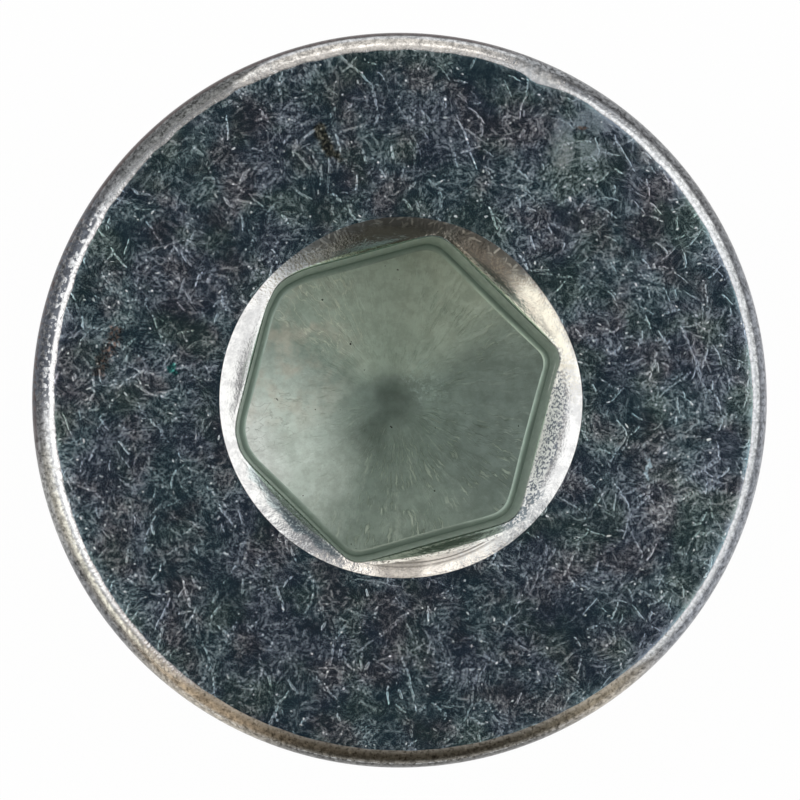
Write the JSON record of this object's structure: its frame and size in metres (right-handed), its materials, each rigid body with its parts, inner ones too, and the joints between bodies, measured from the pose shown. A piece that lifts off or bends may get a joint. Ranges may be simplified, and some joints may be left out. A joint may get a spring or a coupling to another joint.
{
  "type": "hex socket plug",
  "caption": "Threaded screw plug with a round flat collar and a hexagon socket punched into its head, made in one piece of zinc plated steel.",
  "frame": {"origin": "centre of the thread end's flat face, at the bottom of the plug", "axes": "+Z along the plug's axis from the thread end to the collar, out of the socket's mouth; +X and +Y across the collar, with one socket corner 15.33 degrees from +X towards +Y"},
  "size_m": [0.025, 0.025, 0.018],
  "materials": {
    "zinc_plated_steel": "bright zinc plate, tumbled, with fine scratches all over"
  },
  "bodies": {
    "root": {"plug_body": "zinc_plated_steel"}
  },
  "joints": []
}
